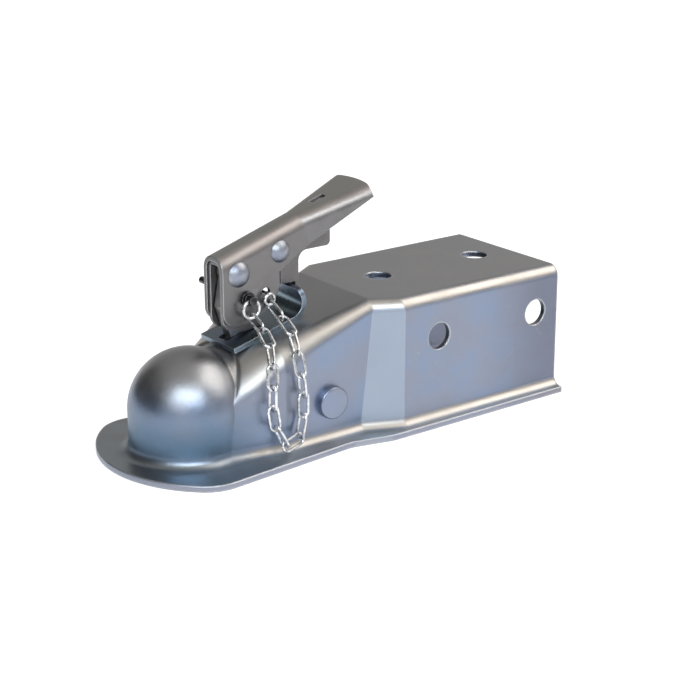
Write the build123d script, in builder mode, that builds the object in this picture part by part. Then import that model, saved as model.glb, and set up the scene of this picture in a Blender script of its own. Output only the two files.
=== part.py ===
from build123d import *
import os
from math import asin, atan2, cos, degrees, radians, sin, sqrt, tan

# Trailer coupling head: a pressed shell over a tow ball, a lever latch with a squeeze
# trigger on top, a ball clamp inside and a chained safety pin.
# Millimetres. Origin at the ball centre, +X to the trailer, +Z up, -Y the chain side.

# Ball and sheet
BALL_D = 50.8
BALL_CLEARANCE = 0.6
SHEET = 3.0
FLANGE_DROP = 22.8
BEND_R = 5.0

# Plan of the flat rim, half widths at stations along X
RIM_FRONT_X = -42.2
RIM_SHOULDER_X = -14.5
RIM_SHOULDER_HALF = 51.0
RIM_SHOULDER_R = 20.0
RIM_WAIST_X = 64.0
RIM_WAIST_HALF = 43.2
RIM_HIP_X = 86.0
RIM_HIP_HALF = 48.4
RIM_END_HALF = 47.3
RIM_SIDE_R = 18.0

# Neck and channel box of the pressing
CHANNEL_W = 76.5
BOX_TOP = 44.4
BOX_END = 197.6
BOX_START = 97.5
BOX_CORNER_R = 6.0
NECK_HALF = 33.0
BARREL_HALF = 28.5
BARREL_CORNER_R = 28.0
BARREL_END_X = 24.0
BARREL_END_HALF = 26.6
BARREL_END_CORNER_R = 25.0
BARREL_SINK = 0.8
CREASE_X = 3.5
CREASE_LEAN = 32.0
CREASE_HALF = 27.0
CREASE_CORNER_R = 25.0
NECK_MID_X = 33.0
NECK_MID_CORNER_R = 12.0
NECK_CROWN = 22.0
NECK_END_X = 79.2
NECK_END_LEAN = 7.4

# Bolt holes for the trailer tongue
BOLT_HOLE_D = 13.5
BOLT_SPACING = 63.5
SIDE_HOLE_X = 119.0
SIDE_HOLE_Z = 22.1
TOP_HOLE_X = 113.1

# Saddle plate on the neck, measured along the neck slope
SADDLE_T = 2.5
SADDLE_HALF = 14.5
SADDLE_START = 18.0
SADDLE_BASE = 35.5
KEEPER_R = 9.0
KEEPER_RISE = 13.8
KEEPER_CORNER_R = 4.0
STEM_SLOT_START = 20.6
STEM_SLOT_L = 14.5
STEM_SLOT_GAP = 0.7
STEM_SLOT_R = 1.5

# Lever: pivot rivet, tilt of its axis, section and outline
PIVOT_X = 24.6
PIVOT_Z = 62.2
LEVER_TILT = 17.4
LEVER_HALF = 8.2
LEVER_T = 2.2
LEVER_RIDGE = 10.8
LEVER_RIDGE_R = 6.6
LEVER_FRONT_X = 15.6
LEVER_LOBE_R = 25.0
LEVER_LOBE_CORNER_R = 7.0
LEVER_HEEL_X = 47.4
LEVER_HEEL_BELOW = 9.2
LEVER_FLARE_START = 41.0
LEVER_LENGTH = 80.5
TAIL_HALF = 17.4
TAIL_R = 6.5
TAIL_LIP = 6.0
TAIL_BULGE = 3.0
SPACER_D = 8.4
LANCE_AT = 57.0
LANCE_L = 8.0
LANCE_W = 4.0
PIVOT_D = 7.0
PIVOT_HEAD_D = 14.0
PIVOT_HEAD_H = 3.4
RIVET_RIM = 0.25
TRIGGER_AT = 24.6
TRIGGER_PIN_D = 6.0
TRIGGER_HEAD_D = 12.4
TRIGGER_HEAD_H = 3.0
PIN_HOLE_D = 6.0
CHAIN_HOLE_D = 5.0
PIN_X = 28.6
PIN_Z = 50.0
CHAIN_HOLE_X = 39.5
CHAIN_HOLE_Z = 50.9

# Cam channel nested in the lever, bearing on the saddle
CAM_T = 1.8
CAM_GAP = 0.2
CAM_REACH = 4.5
CAM_BACK = 60.0
CAM_SEAT_GAP = 0.3
CAM_SET_BACK = 0.9
CAM_HEEL_X = 38.0
CAM_WAIST_X = 34.5
CAM_WAIST_Z = 47.0

# Trigger channel inside the lever
TRIGGER_HALF = 4.6
TRIGGER_T = 1.8
TRIGGER_EYE_R = 6.0
TRIGGER_FRONT = 5.6
TAB_REACH = 31.7
TAB_TOP = 7.4
TAB_BOTTOM = 2.6
LEG_BACK = 12.9
LEG_W = 1.8
LEG_SHOULDER_W = 10.4
NOTCH_R = 5.0
TAB_R = 2.4
LEG_FOOT = 25.0
LEG_OVER_KEEPER = 0.9
COIL_R = 4.2
COIL_WIRE = 1.0
COIL_TURNS = 3
COIL_PITCH = 1.15
COIL_LEG = 9.5

# Ball clamp, its link and its pivot
STEM_T = 6.4
STEM_W = 7.2
STEM_EYE_R = 5.0
STEM_KINK_X = 21.4
STEM_KINK_Z = 46.0
STEM_FOOT_R = 5.4
LINK_PIN_X = 32.0
LINK_PIN_Z = 14.0
LINK_PIN_D = 6.0
LINK_SLOT_PLAY = 2.6
LINK_SLOT_GAP = 0.3
CLAMP_X = 59.0
CLAMP_Z = -1.0
CLAMP_PIN_D = 12.0
CLAMP_HEAD_D = 19.0
CLAMP_HEAD_H = 4.0
CLAMP_HALF = 13.0
CLAMP_ARM = 4.0
CLAMP_HUB_R = 10.0
CLAMP_NOSE_X = 21.0
CLAMP_NOSE_Z = -13.5
CLAMP_CHEEK_X = 34.0
CLAMP_NOSE_R = 2.0
CLAMP_GRIP_GAP = 0.4
CLAMP_POCKET_X = 49.0
SLEEVE_WALL = 2.6
SPRING_X = 43.5
SPRING_SEAT_Z = 8.0
SPRING_R = 4.2
SPRING_WIRE = 1.3
SPRING_TURNS = 5
SPRING_WELL_R = 8.2
CUP_T = 1.2
CUP_R = 6.2

# Safety pin, ring and chain
PIN_D = 3.4
PIN_STUB = 23.0
PIN_HEAD_D = 7.0
PIN_HEAD_T = 1.6
PIN_TAIL_D = 4.0
PIN_TAIL_L = 4.2
RING_HOLE_D = 2.6
RING_R = 4.4
RING_WIRE = 1.6
LINK_STRAIGHT = 6.8
LINK_BEND_R = 2.7
LINK_WIRE = 1.4
CHAIN_JOINTS = [
    (28.6, -10.5, 42.5),
    (28.6, -21.5, 37.3),
    (27.2, -28.6, 33.2),
    (24.0, -35.6, 23.8),
    (22.7, -37.4, 16.1),
    (22.6, -37.2, 3.9),
    (23.8, -37.4, -4.1),
    (29.1, -38.8, -15.0),
    (36.6, -38.4, -12.8),
    (39.7, -37.5, -1.0),
    (39.8, -37.4, 7.1),
    (38.1, -38.2, 19.3),
    (38.1, -35.8, 27.3),
    (40.0, -28.0, 36.5),
    (40.3, -20.5, 40.7),
    (39.4, -10.0, 46.8),
]
HOOK_R = 2.6
HOOK_REACH = 3.0
HOOK_TURN = 3.2

# Fits
RUN_GAP = 0.05
FIT_GAP = 0.1
SIDE_GAP = 0.3

dome_r = BALL_D / 2 + BALL_CLEARANCE + SHEET
base_z = -FLANGE_DROP
rim_top = base_z + SHEET
box_half = CHANNEL_W / 2 + SHEET
crown_end_x = NECK_END_X + BOX_TOP * tan(radians(NECK_END_LEAN))
neck_slope = degrees(atan2(BOX_TOP - NECK_CROWN, crown_end_x))
under = 4 * SHEET


def crown_z(x):
    """Height of the neck's top line at a station along X."""
    return NECK_CROWN + x * tan(radians(neck_slope))


# Pressing: each station is where, lean, half width, top and corner radius
barrel = [
    (0, 0, BARREL_HALF, NECK_CROWN, BARREL_CORNER_R),
    (BARREL_END_X, 0, BARREL_END_HALF, crown_z(BARREL_END_X) - BARREL_SINK, BARREL_END_CORNER_R),
]
crease_top = crown_z(CREASE_X) / (1 - tan(radians(neck_slope)) * tan(radians(CREASE_LEAN)))
stations = [
    (CREASE_X, CREASE_LEAN, CREASE_HALF, crease_top, CREASE_CORNER_R),
    (NECK_MID_X, 0, NECK_HALF, crown_z(NECK_MID_X), NECK_MID_CORNER_R),
    (NECK_END_X, NECK_END_LEAN, NECK_HALF, BOX_TOP, BOX_CORNER_R),
    (BOX_START, 0, box_half, BOX_TOP, BOX_CORNER_R),
    (BOX_END, 0, box_half, BOX_TOP, BOX_CORNER_R),
]


def press_section(at_x, lean, half, top, corner, inset, floor):
    """One cross-section of the pressing, with the outward bend into the rim at its foot."""
    tilt = radians(lean)
    rise = 1 / cos(tilt)
    wall = half - inset
    roof = (top - inset) * rise
    round_r = max(corner - inset, SHEET)
    foot = half + BEND_R
    toe = (rim_top - inset) * rise
    spring_line = (rim_top + BEND_R) * rise
    bend_mid_y = foot - (BEND_R + inset) * sin(radians(45))
    bend_mid_z = spring_line - (spring_line - toe) * sin(radians(45))
    corner_mid = round_r * (1 - sin(radians(45)))
    across = Plane(origin=(at_x, 0, 0), x_dir=(0, 1, 0), z_dir=(cos(tilt), 0, -sin(tilt)))
    with BuildSketch(across) as section:
        with BuildLine():
            Polyline((0, floor * rise), (foot, floor * rise), (foot, toe))
            ThreePointArc((foot, toe), (bend_mid_y, bend_mid_z), (wall, spring_line))
            Line((wall, spring_line), (wall, roof - round_r))
            ThreePointArc(
                (wall, roof - round_r),
                (wall - corner_mid, roof - corner_mid),
                (wall - round_r, roof),
            )
            Line((wall - round_r, roof), (0, roof))
            mirror(about=Plane.YZ)
        make_face()
    return section.sketch


def dome_profile(inset, floor):
    """Half profile of the ball dome and its skirt, turned about Z."""
    r = dome_r - inset
    foot = dome_r + BEND_R
    spring_line = rim_top + BEND_R
    bend_mid = (BEND_R + inset) * sin(radians(45))
    with BuildSketch(Plane.XZ) as profile:
        with BuildLine():
            ThreePointArc((0, r), (r * sin(radians(45)), r * cos(radians(45))), (r, 0))
            Line((r, 0), (r, spring_line))
            ThreePointArc(
                (r, spring_line),
                (foot - bend_mid, spring_line - bend_mid),
                (foot, rim_top - inset),
            )
            Polyline((foot, rim_top - inset), (foot, floor), (0, floor), (0, r))
        make_face()
    return profile.sketch


def slope_plane(along):
    """Plane of the XZ section, local X up the neck slope, local Y square to it."""
    s = radians(neck_slope)
    start = (along * cos(s), 0, NECK_CROWN + along * sin(s))
    return Plane(origin=start, x_dir=(cos(s), 0, sin(s)), z_dir=(0, -1, 0))


def slope_top(along, lift):
    """Plane lying on the neck slope, raised by lift, local X up the slope."""
    flat = slope_plane(along)
    return Plane(origin=flat.origin + flat.y_dir * lift, x_dir=flat.x_dir, z_dir=flat.y_dir)


stem_slot_mid = STEM_SLOT_START + STEM_SLOT_L / 2
stem_slot_w = STEM_T + 2 * STEM_SLOT_GAP

os.makedirs("parts", exist_ok=True)

with BuildPart() as body_shell:
    revolve(dome_profile(0, base_z), axis=Axis.Z)
    loft([press_section(*station, 0, base_z) for station in barrel], ruled=True)
    loft([press_section(*station, 0, base_z) for station in stations], ruled=True)
    with BuildSketch(Plane.XY.offset(base_z)) as rim:
        with BuildLine():
            ThreePointArc(
                (RIM_SHOULDER_X, RIM_SHOULDER_HALF),
                (RIM_FRONT_X, 0),
                (RIM_SHOULDER_X, -RIM_SHOULDER_HALF),
            )
            Polyline(
                (RIM_SHOULDER_X, -RIM_SHOULDER_HALF),
                (RIM_WAIST_X, -RIM_WAIST_HALF),
                (RIM_HIP_X, -RIM_HIP_HALF),
                (BOX_END, -RIM_END_HALF),
                (BOX_END, RIM_END_HALF),
                (RIM_HIP_X, RIM_HIP_HALF),
                (RIM_WAIST_X, RIM_WAIST_HALF),
                (RIM_SHOULDER_X, RIM_SHOULDER_HALF),
            )
        make_face()
        fillet(rim.vertices().group_by(Axis.X)[1:3], RIM_SIDE_R)
        fillet(rim.vertices().group_by(Axis.X)[0], RIM_SHOULDER_R)
    extrude(amount=SHEET)
    revolve(dome_profile(SHEET, base_z - under), axis=Axis.Z, mode=Mode.SUBTRACT)
    loft(
        [press_section(*station, SHEET, base_z - under) for station in barrel],
        ruled=True,
        mode=Mode.SUBTRACT,
    )
    inside = [press_section(*station, SHEET, base_z - under) for station in stations[:-1]]
    inside.append(press_section(BOX_END + under, *stations[-1][1:], SHEET, base_z - under))
    loft(inside, ruled=True, mode=Mode.SUBTRACT)
    with BuildSketch(Plane.XZ):
        with Locations((SIDE_HOLE_X, SIDE_HOLE_Z), (SIDE_HOLE_X + BOLT_SPACING, SIDE_HOLE_Z)):
            Circle(BOLT_HOLE_D / 2)
    extrude(amount=2 * box_half, both=True, mode=Mode.SUBTRACT)
    with BuildSketch(Plane.XZ):
        with Locations((CLAMP_X, CLAMP_Z)):
            Circle(CLAMP_PIN_D / 2 + FIT_GAP)
    extrude(amount=2 * box_half, both=True, mode=Mode.SUBTRACT)
    with BuildSketch(Plane.XY):
        with Locations((TOP_HOLE_X, 0), (TOP_HOLE_X + BOLT_SPACING, 0)):
            Circle(BOLT_HOLE_D / 2)
    extrude(amount=2 * BOX_TOP, mode=Mode.SUBTRACT)
    with BuildSketch(slope_top(stem_slot_mid, 0)):
        RectangleRounded(STEM_SLOT_L, stem_slot_w, STEM_SLOT_R)
    extrude(amount=2 * SHEET, both=True, mode=Mode.SUBTRACT)
body_shell.part.label = "body_shell"
export_step(body_shell.part, "parts/body_shell.step")

# Saddle plate: flat on the neck, turned up at the rear as the trigger's keeper
keeper_back = SADDLE_BASE + KEEPER_R
keeper_front = keeper_back - SADDLE_T
keeper_turn = KEEPER_R - SADDLE_T
with BuildPart() as latch_saddle:
    with BuildSketch(slope_plane(SADDLE_START)):
        with BuildLine():
            Polyline((SADDLE_BASE, SADDLE_T), (0, SADDLE_T), (0, 0), (SADDLE_BASE, 0))
            CenterArc((SADDLE_BASE, KEEPER_R), KEEPER_R, -90, 90)
            Polyline(
                (keeper_back, KEEPER_R),
                (keeper_back, KEEPER_RISE),
                (keeper_front, KEEPER_RISE),
                (keeper_front, KEEPER_R),
            )
            CenterArc((SADDLE_BASE, KEEPER_R), keeper_turn, -90, 90)
        make_face()
    extrude(amount=SADDLE_HALF, both=True)
    lip_corners = latch_saddle.edges().filter_by(Axis(slope_plane(0).origin, slope_plane(0).x_dir))
    fillet(lip_corners.group_by(Axis.Z)[-1], KEEPER_CORNER_R)
    with BuildSketch(slope_top(stem_slot_mid, 0)):
        RectangleRounded(STEM_SLOT_L, stem_slot_w, STEM_SLOT_R)
    extrude(amount=2 * SADDLE_T, mode=Mode.SUBTRACT)
latch_saddle.part.label = "latch_saddle"
export_step(latch_saddle.part, "parts/latch_saddle.step")

# Lever frame: along its tilted axis and square to it, from the pivot rivet
tilt = radians(LEVER_TILT)


def lever_point(along, up):
    """X and Z of a point given along the lever axis and square to it."""
    x = PIVOT_X + along * cos(tilt) - up * sin(tilt)
    z = PIVOT_Z + along * sin(tilt) + up * cos(tilt)
    return (x, z)


def lever_section(along, half, ridge, ridge_r):
    """Solid inverted U across the lever, open outlines are cut from it later."""
    x, z = lever_point(along, 0)
    across = Plane(origin=(x, 0, z), x_dir=(0, 1, 0), z_dir=(cos(tilt), 0, sin(tilt)))
    depth = 2 * LEVER_LOBE_R
    with BuildSketch(across) as section:
        with Locations((0, (ridge - depth) / 2)):
            Rectangle(2 * half, ridge + depth)
        fillet(section.vertices().group_by(Axis.Y)[-1], ridge_r)
    return section.sketch


def lever_channel(inset):
    """Sections of the lever skin, or of its hollow when inset."""
    front = (LEVER_HALF - inset, LEVER_RIDGE - inset, LEVER_RIDGE_R - inset)
    tail = (TAIL_HALF - inset, LEVER_RIDGE - inset, TAIL_R - inset)
    return [
        lever_section(-LEVER_LOBE_R, *front),
        lever_section(LEVER_FLARE_START, *front),
        lever_section(LEVER_LENGTH, *tail),
    ]


def below_pivot(x, r):
    """Z of the lower side of a circle of radius r about the lever pivot."""
    return PIVOT_Z - sqrt(r**2 - (x - PIVOT_X) ** 2)


lever_inner = LEVER_HALF - LEVER_T
lever_sky = PIVOT_Z + LEVER_LENGTH
heel_along = (LEVER_HEEL_X - PIVOT_X - LEVER_HEEL_BELOW * sin(tilt)) / cos(tilt)
heel_top = lever_point(heel_along, -LEVER_HEEL_BELOW)
tail_lip = lever_point(LEVER_LENGTH, TAIL_LIP)
tail_corner = LEVER_LENGTH - TAIL_BULGE
lever_plan = Plane(
    origin=(PIVOT_X, 0, PIVOT_Z), x_dir=(cos(tilt), 0, sin(tilt)), z_dir=(-sin(tilt), 0, cos(tilt))
)
trigger_x, trigger_z = lever_point(TRIGGER_AT, 0)

with BuildPart() as lever_handle:
    loft(lever_channel(0), ruled=True)
    loft(lever_channel(LEVER_T), ruled=True, mode=Mode.SUBTRACT)
    with BuildSketch(Plane.XZ) as lever_side:
        with BuildLine():
            lobe_front = (LEVER_FRONT_X, below_pivot(LEVER_FRONT_X, LEVER_LOBE_R))
            lobe_back = (LEVER_HEEL_X, below_pivot(LEVER_HEEL_X, LEVER_LOBE_R))
            Polyline((tail_lip[0], lever_sky), (LEVER_FRONT_X, lever_sky), lobe_front)
            ThreePointArc(lobe_front, (PIVOT_X, PIVOT_Z - LEVER_LOBE_R), lobe_back)
            Polyline(lobe_back, heel_top, tail_lip, (tail_lip[0], lever_sky))
        make_face()
        lobe_corner = lever_side.vertices().group_by(Axis.X)[0].sort_by(Axis.Y)[0]
        fillet(lobe_corner, LEVER_LOBE_CORNER_R)
    extrude(amount=2 * TAIL_HALF, both=True, mode=Mode.INTERSECT)
    with BuildSketch(Plane.XZ):
        with Locations((PIVOT_X, PIVOT_Z)):
            Circle(PIVOT_D / 2 + FIT_GAP)
        with Locations((trigger_x, trigger_z)):
            Circle(TRIGGER_PIN_D / 2 + FIT_GAP)
        with Locations((PIN_X, PIN_Z)):
            Circle(PIN_HOLE_D / 2)
        with Locations((CHAIN_HOLE_X, CHAIN_HOLE_Z)):
            Circle(CHAIN_HOLE_D / 2)
    extrude(amount=2 * TAIL_HALF, both=True, mode=Mode.SUBTRACT)
    with BuildSketch(lever_plan):
        with BuildLine():
            ThreePointArc((tail_corner, -TAIL_HALF), (LEVER_LENGTH, 0), (tail_corner, TAIL_HALF))
            Polyline(
                (tail_corner, TAIL_HALF),
                (-LEVER_LENGTH, TAIL_HALF),
                (-LEVER_LENGTH, -TAIL_HALF),
                (tail_corner, -TAIL_HALF),
            )
        make_face()
    extrude(amount=LEVER_LENGTH, both=True, mode=Mode.INTERSECT)
    with BuildSketch(lever_plan):
        with Locations((LANCE_AT, 0)):
            Rectangle(LANCE_L, LANCE_W)
    extrude(amount=2 * LEVER_RIDGE, mode=Mode.SUBTRACT)
lever_handle.part.label = "lever_handle"
export_step(lever_handle.part, "parts/lever_handle.step")

# Cam channel: nested in the front of the lever, its round foot on the saddle
slope = radians(neck_slope)
seat_fall = (PIVOT_Z - NECK_CROWN) * cos(slope) - PIVOT_X * sin(slope) - SADDLE_T - CAM_SEAT_GAP
cam_x = PIVOT_X + CAM_REACH * sin(slope + radians(CAM_BACK))
cam_z = PIVOT_Z - CAM_REACH * cos(slope + radians(CAM_BACK))
cam_r = seat_fall - CAM_REACH * cos(radians(CAM_BACK))
cam_half = LEVER_HALF - LEVER_T - CAM_GAP
cam_ridge = LEVER_RIDGE - LEVER_T - CAM_GAP
cam_ridge_r = LEVER_RIDGE_R - LEVER_T - CAM_GAP
cam_front = LEVER_FRONT_X + CAM_SET_BACK


def cam_channel(inset):
    """Sections of the cam channel, or of its hollow when inset."""
    size = (cam_half - inset, cam_ridge - inset, cam_ridge_r - inset)
    return [lever_section(-LEVER_LOBE_R, *size), lever_section(LEVER_FLARE_START, *size)]


def on_cam(x):
    """Z of the cam's lower edge."""
    return cam_z - sqrt(cam_r**2 - (x - cam_x) ** 2)


with BuildPart() as lever_cam:
    loft(cam_channel(0), ruled=True)
    loft(cam_channel(CAM_T), ruled=True, mode=Mode.SUBTRACT)
    with BuildSketch(Plane.XZ) as cam_side:
        with BuildLine():
            cam_toe = (cam_front, on_cam(cam_front))
            cam_heel = (CAM_HEEL_X, on_cam(CAM_HEEL_X))
            Polyline((CAM_WAIST_X, lever_sky), (cam_front, lever_sky), cam_toe)
            ThreePointArc(cam_toe, (PIVOT_X, on_cam(PIVOT_X)), cam_heel)
            Polyline(cam_heel, (CAM_WAIST_X, CAM_WAIST_Z), (CAM_WAIST_X, lever_sky))
        make_face()
        toe_corner = cam_side.vertices().group_by(Axis.X)[0].sort_by(Axis.Y)[0]
        fillet(toe_corner, LEVER_LOBE_CORNER_R)
    extrude(amount=2 * LEVER_HALF, both=True, mode=Mode.INTERSECT)
    with BuildSketch(Plane.XZ):
        with Locations((PIVOT_X, PIVOT_Z)):
            Circle(PIVOT_D / 2 + FIT_GAP)
        with Locations((PIN_X, PIN_Z)):
            Circle(PIN_HOLE_D / 2)
    extrude(amount=2 * LEVER_HALF, both=True, mode=Mode.SUBTRACT)
lever_cam.part.label = "lever_cam"
export_step(lever_cam.part, "parts/lever_cam.step")


def rivet(x, z, shank_d, head_d, head_h, half):
    """Rivet along Y with a low domed head on each side of a grip 2 * half wide."""
    shank = shank_d / 2
    head = head_d / 2
    rim = half + head_h * RIVET_RIM
    crown = half + head_h
    cap_h = crown - rim
    cap_r = (head**2 + cap_h**2) / (2 * cap_h)
    half_turn = asin(head / cap_r) / 2
    cheek = (cap_r * sin(half_turn), crown - cap_r + cap_r * cos(half_turn))
    with BuildPart() as fastener:
        with BuildSketch(Plane(origin=(x, 0, z), x_dir=(1, 0, 0), z_dir=(0, 0, 1))):
            with BuildLine():
                Line((0, -crown), (0, crown))
                ThreePointArc((0, crown), cheek, (head, rim))
                Polyline((head, rim), (head, half), (shank, half), (shank, -half))
                Polyline((shank, -half), (head, -half), (head, -rim))
                ThreePointArc((head, -rim), (cheek[0], -cheek[1]), (0, -crown))
            make_face()
        revolve(axis=Axis((x, 0, z), (0, 1, 0)))
    return fastener.part


with BuildPart() as lever_rivet:
    add(rivet(PIVOT_X, PIVOT_Z, PIVOT_D, PIVOT_HEAD_D, PIVOT_HEAD_H, LEVER_HALF))
lever_rivet.part.label = "lever_rivet"
export_step(lever_rivet.part, "parts/lever_rivet.step")

with BuildPart() as trigger_rivet:
    add(rivet(trigger_x, trigger_z, TRIGGER_PIN_D, TRIGGER_HEAD_D, TRIGGER_HEAD_H, LEVER_HALF))
trigger_rivet.part.label = "trigger_rivet"
export_step(trigger_rivet.part, "parts/trigger_rivet.step")

# Trigger: folded channel on the rear rivet, finger tab behind, hooked leg over the keeper
keeper_top = slope_plane(SADDLE_START + keeper_back).from_local_coords((0, KEEPER_RISE, 0))
shoulder_z = keeper_top.Z + LEG_OVER_KEEPER
tab_x = trigger_x + TAB_REACH
tab_z = trigger_z - TAB_BOTTOM
leg_x = trigger_x + LEG_BACK
foot_z = trigger_z - LEG_FOOT

with BuildSketch(Plane.XZ) as trigger_side:
    with BuildLine():
        Polyline(
            (trigger_x - TRIGGER_FRONT, trigger_z - TRIGGER_EYE_R),
            (trigger_x - TRIGGER_FRONT, trigger_z + TRIGGER_EYE_R / 2),
            (trigger_x - TRIGGER_FRONT / 2, trigger_z + TRIGGER_EYE_R),
            (tab_x, trigger_z + TAB_TOP),
            (tab_x, tab_z),
            (leg_x, tab_z),
            (leg_x, foot_z),
            (leg_x - LEG_W, foot_z),
            (leg_x - LEG_W, shoulder_z),
            (leg_x - LEG_SHOULDER_W, shoulder_z),
            (leg_x - LEG_SHOULDER_W, trigger_z - TRIGGER_EYE_R - TRIGGER_T),
            close=True,
        )
    make_face()
    fillet(trigger_side.vertices().sort_by_distance((tab_x, tab_z, 0))[0], TAB_R)
    fillet(trigger_side.vertices().sort_by_distance((leg_x, tab_z, 0))[0], NOTCH_R)

with BuildPart() as trigger:
    extrude(trigger_side.sketch, amount=TRIGGER_HALF, both=True)
    hollow = trigger_side.sketch.translate((-TRIGGER_T, 0, TRIGGER_T))
    extrude(hollow, amount=TRIGGER_HALF - TRIGGER_T, both=True, mode=Mode.SUBTRACT)
    with BuildSketch(Plane.XZ):
        with Locations((trigger_x, trigger_z)):
            Circle(TRIGGER_PIN_D / 2 + RUN_GAP)
    extrude(amount=2 * TRIGGER_HALF, both=True, mode=Mode.SUBTRACT)
trigger.part.label = "trigger"
export_step(trigger.part, "parts/trigger.step")

with BuildPart() as trigger_spacers:
    with BuildSketch(Plane.XZ.offset(-lever_inner + FIT_GAP)):
        with Locations((trigger_x, trigger_z)):
            Circle(SPACER_D / 2)
            Circle(TRIGGER_PIN_D / 2 + FIT_GAP, mode=Mode.SUBTRACT)
    extrude(amount=lever_inner - FIT_GAP - TRIGGER_HALF - SIDE_GAP)
    mirror(about=Plane.XZ)
trigger_spacers.part.label = "trigger_spacers"
export_step(trigger_spacers.part, "parts/trigger_spacers.step")


def coil(radius, wire, turns, height, leg=0):
    """Helical wire standing on the origin about Z, with level legs off its ends."""
    with BuildPart() as spring:
        with BuildLine() as turn:
            Helix(pitch=height / turns, height=height, radius=radius)
        with BuildSketch(Plane(origin=turn.line @ 0, z_dir=turn.line % 0)):
            Circle(wire / 2)
        sweep(path=turn.line)
        if leg:
            for at, reach in ((0, -leg), (1, leg)):
                end = turn.line @ at
                run = turn.line % at
                level = Vector(run.X, run.Y, 0).normalized()
                outward = Vector(end.X, end.Y, 0)
                with BuildSketch(Plane(origin=end, x_dir=outward, z_dir=run)):
                    Circle(wire / 2)
                with BuildSketch(Plane(origin=end + level * reach, x_dir=outward, z_dir=level)):
                    Circle(wire / 2)
                loft(ruled=True)
    return spring.part


# Torsion spring round the rear rivet, one leg to the lever, one to the trigger
coil_h = COIL_TURNS * COIL_WIRE * COIL_PITCH
with BuildPart() as trigger_spring:
    coil_seat = Plane(
        origin=(trigger_x, -coil_h / 2, trigger_z), x_dir=(-sin(tilt), 0, cos(tilt)), z_dir=(0, 1, 0)
    )
    with Locations(coil_seat):
        add(coil(COIL_R, COIL_WIRE, COIL_TURNS, coil_h, COIL_LEG))
trigger_spring.part.label = "trigger_spring"
export_step(trigger_spring.part, "parts/trigger_spring.step")

# Stem: flat link from the lever rivet down through the neck to the ball clamp
with BuildPart() as clamp_stem:
    with BuildSketch(Plane.XZ):
        with BuildLine() as stem_line:
            Polyline((PIVOT_X, PIVOT_Z), (STEM_KINK_X, STEM_KINK_Z), (LINK_PIN_X, LINK_PIN_Z))
        trace(stem_line.line, line_width=STEM_W)
        with Locations((PIVOT_X, PIVOT_Z)):
            Circle(STEM_EYE_R)
        with Locations((LINK_PIN_X - LINK_SLOT_PLAY / 2, LINK_PIN_Z)):
            SlotCenterToCenter(LINK_SLOT_PLAY, 2 * STEM_FOOT_R)
            SlotCenterToCenter(LINK_SLOT_PLAY, LINK_PIN_D + 2 * LINK_SLOT_GAP, mode=Mode.SUBTRACT)
        with Locations((PIVOT_X, PIVOT_Z)):
            Circle(PIVOT_D / 2 + RUN_GAP, mode=Mode.SUBTRACT)
    extrude(amount=STEM_T / 2, both=True)
clamp_stem.part.label = "clamp_stem"
export_step(clamp_stem.part, "parts/clamp_stem.step")

# Ball clamp: jaw that hooks under the ball, hung on the cross rivet
arm_gap = CLAMP_HALF - CLAMP_ARM
pocket_half = STEM_T / 2 + LINK_SLOT_GAP
pocket_z = LINK_PIN_Z - STEM_FOOT_R - LINK_SLOT_PLAY
pocket_x = LINK_PIN_X - LINK_SLOT_PLAY / 2
pocket_l = 2 * (STEM_FOOT_R + LINK_SLOT_PLAY) + LINK_SLOT_PLAY
clamp_clear = CLAMP_X - CLAMP_NOSE_X
stand = (Align.CENTER, Align.CENTER, Align.MIN)
rear = (Align.MIN, Align.CENTER, Align.CENTER)
with BuildPart() as ball_clamp:
    with BuildSketch(Plane.XZ):
        with BuildLine():
            CenterArc((CLAMP_X, CLAMP_Z), CLAMP_HUB_R, 0, 360)
            CenterArc((LINK_PIN_X, LINK_PIN_Z), LINK_PIN_D, 0, 360)
            CenterArc((CLAMP_NOSE_X, CLAMP_NOSE_Z), CLAMP_NOSE_R, 0, 360)
            CenterArc((CLAMP_CHEEK_X, CLAMP_NOSE_Z), CLAMP_NOSE_R, 0, 360)
        make_hull()
    extrude(amount=CLAMP_HALF, both=True)
    Sphere(BALL_D / 2 + CLAMP_GRIP_GAP, mode=Mode.SUBTRACT)
    with Locations((pocket_x, 0, pocket_z)):
        Box(pocket_l, 2 * pocket_half, clamp_clear, align=stand, mode=Mode.SUBTRACT)
    with Locations((SPRING_X, 0, SPRING_SEAT_Z)):
        Cylinder(SPRING_WELL_R, clamp_clear, align=stand, mode=Mode.SUBTRACT)
    with Locations((CLAMP_POCKET_X, 0, CLAMP_Z)):
        Box(clamp_clear, 2 * arm_gap, 2 * clamp_clear, align=rear, mode=Mode.SUBTRACT)
    with BuildSketch(Plane.XZ):
        with Locations((CLAMP_X, CLAMP_Z)):
            Circle(CLAMP_PIN_D / 2 + RUN_GAP)
        with Locations((LINK_PIN_X, LINK_PIN_Z)):
            Circle(LINK_PIN_D / 2 + RUN_GAP)
    extrude(amount=2 * CLAMP_HALF, both=True, mode=Mode.SUBTRACT)
ball_clamp.part.label = "ball_clamp"
export_step(ball_clamp.part, "parts/ball_clamp.step")

with BuildPart() as clamp_pin:
    with BuildSketch(Plane.XZ):
        with Locations((LINK_PIN_X, LINK_PIN_Z)):
            Circle(LINK_PIN_D / 2)
    extrude(amount=CLAMP_HALF, both=True)
clamp_pin.part.label = "clamp_pin"
export_step(clamp_pin.part, "parts/clamp_pin.step")

with BuildPart() as clamp_rivet:
    add(rivet(CLAMP_X, CLAMP_Z, CLAMP_PIN_D, CLAMP_HEAD_D, CLAMP_HEAD_H, NECK_HALF))
clamp_rivet.part.label = "clamp_rivet"
export_step(clamp_rivet.part, "parts/clamp_rivet.step")

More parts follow.
